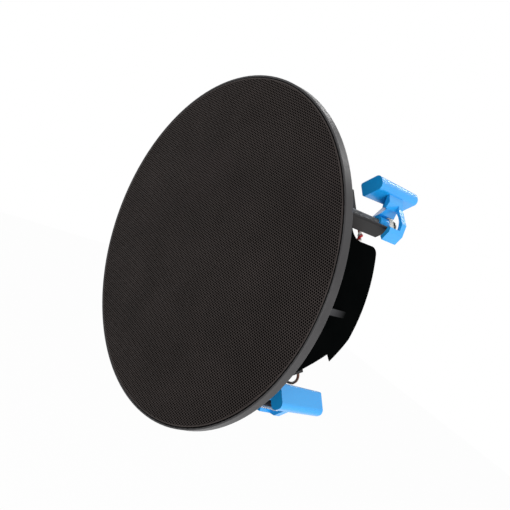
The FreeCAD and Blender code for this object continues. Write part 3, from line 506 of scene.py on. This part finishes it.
def grille():
    """Perforated steel sheet with a plain border round its edge."""
    low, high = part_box("grille")
    radius = high.x
    front, back = low.y, high.y
    limit = radius - FIELD_INSET
    field = limit + HOLE_PITCH
    across = math.ceil(field / HOLE_PITCH) + 1
    row_step = HOLE_PITCH * math.sqrt(3) / 2
    rows = math.ceil(field / row_step) + 1
    corner = HOLE_PITCH * HOLE_SHARE / math.sqrt(3)
    places = {}
    for row in range(-rows, rows + 1):
        for column in range(-2 * across, 2 * across + 1):
            x = (column + row / 2) * HOLE_PITCH
            z = row * row_step
            if math.hypot(x, z) < field:
                places[column, row] = (x, z)
    index = {key: 6 * i for i, key in enumerate(places)}
    sheet_y = front + SHEET_SETBACK
    angles = [math.radians(30 + 60 * i) for i in range(6)]
    ring = [(corner * math.cos(a), corner * math.sin(a)) for a in angles]
    corners = []
    inside = []
    for x, z in places.values():
        for dx, dz in ring:
            reach = math.hypot(x + dx, z + dz)
            share = min(1.0, limit / reach)
            corners.append(((x + dx) * share, (z + dz) * share))
            inside.append(reach < limit)
    faces = []
    for (column, row), at in index.items():
        east = index.get((column + 1, row))
        north_east = index.get((column, row + 1))
        north_west = index.get((column - 1, row + 1))
        if east is not None:
            faces.append((at + 0, at + 5, east + 3, east + 2))
        if north_east is not None:
            faces.append((at + 1, at + 0, north_east + 4, north_east + 3))
        if north_west is not None:
            faces.append((at + 2, at + 1, north_west + 5, north_west + 4))
        if east is not None and north_east is not None:
            faces.append((at + 0, east + 2, north_east + 4))
        if north_east is not None and north_west is not None:
            faces.append((at + 1, north_east + 3, north_west + 5))
    faces = [face for face in faces if any(inside[i] for i in face)]
    walls = []
    count = len(corners)
    for at in index.values():
        for i in range(6):
            a, b = at + i, at + (i + 1) % 6
            if inside[a] or inside[b]:
                walls.append((a, b, count + b, count + a))
    rim = [(x, sheet_y, z) for x, z in corners]
    deep = [(x, back, z) for x, z in corners]
    sheet = piece("grille_sheet", *used_points(rim, faces), "grille_steel", "grille",
                  smooth=False)
    piece("grille_bores", *used_points(rim + deep, walls), "grille_steel", "grille", smooth=False)
    bend = [math.radians(90 / BEND_STEPS * i) for i in range(BEND_STEPS + 1)]
    arc = [(radius - BORDER_BEND * (1 - math.sin(a)), front + BORDER_BEND * (1 - math.cos(a)))
           for a in bend]
    inner = radius - BORDER_WIDTH
    profile = [(inner, front)] + arc + [(radius, back), (inner, back)]
    border = piece("grille_border", *revolve(profile, BORDER_STEPS), "grille_steel", "grille")
    smooth_by_angle(border)
    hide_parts("grille")


def smooth_by_angle(made):
    """Keeps the edges that turn by more than an angle sharp."""
    mesh = made.data
    limit = math.cos(math.radians(SHARP_ANGLE))
    normals = {}
    for polygon in mesh.polygons:
        for key in polygon.edge_keys:
            normals.setdefault(key, []).append(polygon.normal)
    for edge in mesh.edges:
        found = normals.get(tuple(sorted(edge.vertices)), [])
        edge.use_edge_sharp = len(found) == 2 and found[0].dot(found[1]) < limit


def sector_ring(name, profile, slot):
    """Ring from a closed profile, in sectors."""
    step = 2 * math.pi / SECTORS
    for i in range(SECTORS):
        points, faces = revolve(profile, SECTOR_STEPS, i * step, (i + 1) * step)
        made = piece("%s_%d" % (name, i + 1), points, faces, slot)
        smooth_by_angle(made)
        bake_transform(made)
        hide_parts(name)


def surround():
    """Rubber half-roll with a flat land at each side."""
    _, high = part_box("surround")
    outer, back = high.x, high.y
    front = back - SURROUND_SHEET
    middle = outer - SURROUND_LAND - ROLL_RADIUS
    inner = middle - ROLL_RADIUS - SURROUND_LAND
    arc = [math.radians(180.0 * i / ROLL_STEPS) for i in range(ROLL_STEPS + 1)]
    over = [(middle + ROLL_RADIUS * math.cos(a), front - ROLL_RADIUS * math.sin(a)) for a in arc]
    half = ROLL_RADIUS - SURROUND_SHEET
    under = [(middle - half * math.cos(a), back - half * math.sin(a)) for a in arc]
    profile = [(outer, back), (outer, front)] + over + [(inner, front), (inner, back)] + under
    sector_ring("surround", profile, "surround_rubber")


def spider():
    """Corrugated cloth from the coil former to the basket's ledge."""
    _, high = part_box("spider")
    level = high.y - SPIDER_WAVE - SPIDER_SHEET
    rings = WAVE_STEPS * SPIDER_WAVES
    face = [(SPIDER_INNER, level)]
    for i in range(rings + 1):
        share = i / rings
        rise = SPIDER_WAVE * math.sin(2 * math.pi * SPIDER_WAVES * share)
        face.append((SPIDER_FIRST + (SPIDER_LAST - SPIDER_FIRST) * share, level - rise))
    face.append((high.x, level))
    profile = face + [(r, y + SPIDER_SHEET) for r, y in reversed(face)]
    sector_ring("spider", profile, "spider_cloth")


def route_points(name, route):
    """Points along a smooth route, read from a spline."""
    curve = bpy.data.curves.new(name, "CURVE")
    curve.dimensions = "3D"
    curve.resolution_u = ROUTE_STEPS
    spline = curve.splines.new("NURBS")
    spline.points.add(len(route) - 1)
    for point, place in zip(spline.points, route):
        point.co = (place[0] * MM, place[1] * MM, place[2] * MM, 1.0)
    spline.order_u = 3
    spline.use_endpoint_u = True
    holder = bpy.data.objects.new(name, curve)
    mesh = bpy.data.meshes.new_from_object(holder)
    points = [v.co.copy() for v in mesh.vertices]
    bpy.data.objects.remove(holder)
    bpy.data.curves.remove(curve)
    bpy.data.meshes.remove(mesh)
    return points


def direction(points, i):
    """Direction of a line of points at one of them."""
    return (points[min(i + 1, len(points) - 1)] - points[max(i - 1, 0)]).normalized()


def tube(name, points, slot, node):
    """Round lead through points, closed at its ends, that stands for a CAD node."""
    vertices = []
    faces = []
    side = Vector((0, 0, 1))
    for i, point in enumerate(points):
        along = direction(points, i)
        side = (side - along * side.dot(along)).normalized()
        other = along.cross(side)
        for k in range(LEAD_SIDES):
            angle = 2 * math.pi * k / LEAD_SIDES
            out = math.cos(angle) * side + math.sin(angle) * other
            vertices.append(point + LEAD_RADIUS * out)
    for i in range(len(points) - 1):
        a, b = i * LEAD_SIDES, (i + 1) * LEAD_SIDES
        for k in range(LEAD_SIDES):
            n = (k + 1) % LEAD_SIDES
            faces.append((a + k, a + n, b + n, b + k))
    faces.append(tuple(reversed(range(LEAD_SIDES))))
    faces.append(tuple(range(len(vertices) - LEAD_SIDES, len(vertices))))
    made = piece(name, vertices, faces, slot, "frame")
    smooth_by_angle(made)
    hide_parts(node)


def leads():
    """Red and white leads twisted together, and a single brown one."""
    centre = route_points("pair_route", PAIR_ROUTE)
    strands = ([], [])
    side = Vector((0, 0, 1))
    turn_angle = 0.0
    for i, point in enumerate(centre):
        along = direction(centre, i)
        side = (side - along * side.dot(along)).normalized()
        if i:
            turn_angle += 2 * math.pi * (point - centre[i - 1]).length / TWIST_PITCH
        out = math.cos(turn_angle) * side + math.sin(turn_angle) * along.cross(side)
        strands[0].append(point + TWIST_RADIUS * out)
        strands[1].append(point - TWIST_RADIUS * out)
    tube("red_strand", strands[0], "lead_red", "lead_red")
    tube("white_strand", strands[1], "lead_white", "lead_white")
    tube("brown_strand", route_points("brown_route", BROWN_ROUTE), "lead_brown", "lead_brown")


grille()
surround()
spider()
leads()

# Camera
camera = bpy.data.objects.new("camera", bpy.data.cameras.new("camera"))
scene.collection.objects.link(camera)
camera.data.lens = LENS
camera.data.sensor_width = SENSOR
camera.data.sensor_fit = "HORIZONTAL"
camera.data.clip_end = CLIP_END
turn = Matrix((VIEW_RIGHT, VIEW_UP, VIEW_BACK)).transposed()
offset = VIEW_DISTANCE * VIEW_BACK + VIEW_SIDE * VIEW_RIGHT + VIEW_DROP * VIEW_UP
place = Vector((0, RIM_FRONT, 0)) + RIM_RADIUS * offset
camera.matrix_world = Matrix.Translation(place) @ turn.to_4x4()
scene.camera = camera


def seen_white(tree):
    """1 for rays from the camera, reflections and transmission, 0 for all other light."""
    path = tree.nodes.new("ShaderNodeLightPath")
    mirrored = tree.nodes.new("ShaderNodeMath")
    mirrored.operation = "MAXIMUM"
    tree.links.new(path.outputs["Is Glossy Ray"], mirrored.inputs[0])
    tree.links.new(path.outputs["Is Transmission Ray"], mirrored.inputs[1])
    seen = tree.nodes.new("ShaderNodeMath")
    seen.operation = "MAXIMUM"
    tree.links.new(path.outputs["Is Camera Ray"], seen.inputs[0])
    tree.links.new(mirrored.outputs[0], seen.inputs[1])
    return seen.outputs[0]


def floor_material():
    """Pale floor that the camera sees almost white, with the object's shadow kept."""
    material = bpy.data.materials.new("floor")
    material.use_nodes = True
    tree = material.node_tree
    plain = tree.nodes["Principled BSDF"]
    plain.inputs["Base Color"].default_value = (FLOOR_GREY, FLOOR_GREY, FLOOR_GREY, 1.0)
    plain.inputs["Roughness"].default_value = FLOOR_ROUGHNESS
    white = tree.nodes.new("ShaderNodeEmission")
    share = tree.nodes.new("ShaderNodeMath")
    share.operation = "MULTIPLY"
    share.inputs[1].default_value = FLOOR_WHITE
    tree.links.new(seen_white(tree), share.inputs[0])
    mixed = tree.nodes.new("ShaderNodeMixShader")
    tree.links.new(share.outputs[0], mixed.inputs["Fac"])
    tree.links.new(plain.outputs["BSDF"], mixed.inputs[1])
    tree.links.new(white.outputs["Emission"], mixed.inputs[2])
    tree.links.new(mixed.outputs["Shader"], tree.nodes["Material Output"].inputs["Surface"])
    return material


def stage():
    """Pale floor well below the object, and a white surround."""
    half = FLOOR_SIZE / 2
    z = cad_box[0][2] - FLOOR_DROP
    floor_mesh = bpy.data.meshes.new("floor")
    corners = [(-half, -half, z), (half, -half, z), (half, half, z), (-half, half, z)]
    floor_mesh.from_pydata(corners, [], [(0, 1, 2, 3)])
    floor = bpy.data.objects.new("floor", floor_mesh)
    scene.collection.objects.link(floor)
    floor_mesh.materials.append(floor_material())
    world = bpy.data.worlds.new("studio")
    world.use_nodes = True
    scene.world = world
    tree = world.node_tree
    sky = tree.nodes["Background"]
    sky.inputs["Color"].default_value = WHITE
    sky.inputs["Strength"].default_value = SKY_STRENGTH
    white = tree.nodes.new("ShaderNodeBackground")
    white.inputs["Color"].default_value = WHITE
    mixed = tree.nodes.new("ShaderNodeMixShader")
    tree.links.new(seen_white(tree), mixed.inputs["Fac"])
    tree.links.new(sky.outputs["Background"], mixed.inputs[1])
    tree.links.new(white.outputs["Background"], mixed.inputs[2])
    tree.links.new(mixed.outputs["Shader"], tree.nodes["World Output"].inputs["Surface"])


def lamp(name, place, target, size, watts):
    """Soft rectangular lamp aimed at a point."""
    data = bpy.data.lights.new(name, "AREA")
    data.shape = "RECTANGLE"
    data.size, data.size_y = size
    data.energy = watts
    made = bpy.data.objects.new(name, data)
    scene.collection.objects.link(made)
    made.location = place
    made.rotation_euler = (Vector(target) - Vector(place)).to_track_quat("-Z", "Y").to_euler()


stage()
for settings in LAMPS:
    lamp(*settings)

scene.view_settings.view_transform = "Standard"
